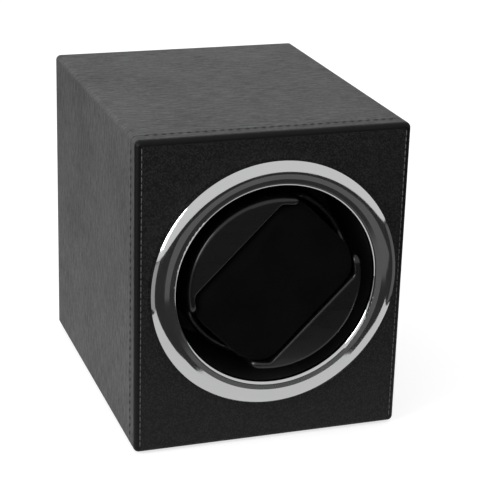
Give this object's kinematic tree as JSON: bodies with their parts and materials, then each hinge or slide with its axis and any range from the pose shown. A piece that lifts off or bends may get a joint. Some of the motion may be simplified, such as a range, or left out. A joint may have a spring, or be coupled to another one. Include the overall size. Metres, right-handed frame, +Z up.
{
  "type": "watch winder box",
  "caption": "Upright leatherette box with a bright round bezel and a motor-driven cup that turns a watch on a velvet pillow.",
  "frame": {"origin": "centre of the underside, on the felt", "axes": "+Z up, -Y out of the front with its bezel, +X to the right seen from the front"},
  "size_m": [0.13, 0.1768, 0.1515],
  "materials": {
    "charcoal_leatherette": "fine brushed emboss, satin",
    "black_leatherette": "pebble grain, satin",
    "bright_plating": "polished",
    "black_gloss_plastic": "gloss",
    "black_velvet": "short pile",
    "black_plastic": "fine texture",
    "fibreboard": "raw",
    "black_felt": "felt",
    "black_screw": "black oxide",
    "zinc_screw": "zinc plated",
    "shaft_steel": "ground",
    "plate_steel": "zinc plated sheet",
    "bronze": "sintered",
    "white_nylon": "moulded",
    "black_rubber": "matte",
    "circuit_laminate": "solder mask"
  },
  "bodies": {
    "case": {"body_wrap": "charcoal_leatherette", "back_cover": "charcoal_leatherette", "front_cover": "black_leatherette", "bezel_ring": "bright_plating", "rotor_well": "black_plastic", "well_flange": "black_plastic", "bearing_plate": "black_plastic", "panel_left": "fibreboard", "panel_right": "fibreboard", "panel_top": "fibreboard", "panel_bottom": "fibreboard", "front_board": "fibreboard", "back_board": "fibreboard", "corner_blocks": "fibreboard", "base_felt": "black_felt", "back_screws": "black_screw", "control_screws": "black_screw", "well_screws": "zinc_screw", "plate_screws": "zinc_screw", "motor_screws": "zinc_screw", "board_screws": "zinc_screw", "front_bush": "bronze", "rear_bush": "bronze", "drive_plate": "plate_steel", "damper_grommets": "black_rubber", "gearbox_housing": "plate_steel", "motor_can": "plate_steel", "motor_cap": "black_plastic", "motor_terminals": "bronze", "control_plate": "black_plastic", "circuit_board": "circuit_laminate", "rotary_switch": "black_plastic", "slide_switch": "black_plastic", "dc_jack": "black_plastic", "jack_pin": "bronze", "lead_plug": "white_nylon", "motor_leads": "black_rubber"},
    "rotor": {"rotor_cup": "black_gloss_plastic", "rotor_shaft": "shaft_steel", "rotor_screw": "zinc_screw", "thrust_washer": "white_nylon", "rotor_gear": "white_nylon", "shaft_clip": "shaft_steel"},
    "pillow": {"watch_pillow": "black_velvet"},
    "motor_pinion": {"pinion": "white_nylon", "pinion_shaft": "shaft_steel"},
    "knob": {"program_knob": "black_plastic", "knob_spindle": "shaft_steel"},
    "slider": {"direction_slider": "black_plastic"}
  },
  "joints": [
    {"name": "rotor_spin", "type": "hinge", "parent": "case", "child": "rotor", "pos_m": [0, -0.04, 0.0805], "axis": [0, 1, 0], "continuous": true},
    {"name": "pinion_spin", "type": "hinge", "parent": "case", "child": "motor_pinion", "pos_m": [0, -0.0078, 0.0445], "axis": [0, 1, 0], "continuous": true},
    {"name": "pillow_pull", "type": "slide", "parent": "rotor", "child": "pillow", "axis": [0, -1, 0], "range_m": [0, 0.06]},
    {"name": "knob_turn", "type": "hinge", "parent": "case", "child": "knob", "pos_m": [-0.014, 0.085, 0.1], "axis": [0, 1, 0], "range_deg": [-120, 120]},
    {"name": "slider_shift", "type": "slide", "parent": "case", "child": "slider", "axis": [1, 0, 0], "range_m": [-0.002, 0.002]}
  ],
  "couplings": [
    {"joint": "pinion_spin", "follows": "rotor_spin", "ratio": -3}
  ]
}
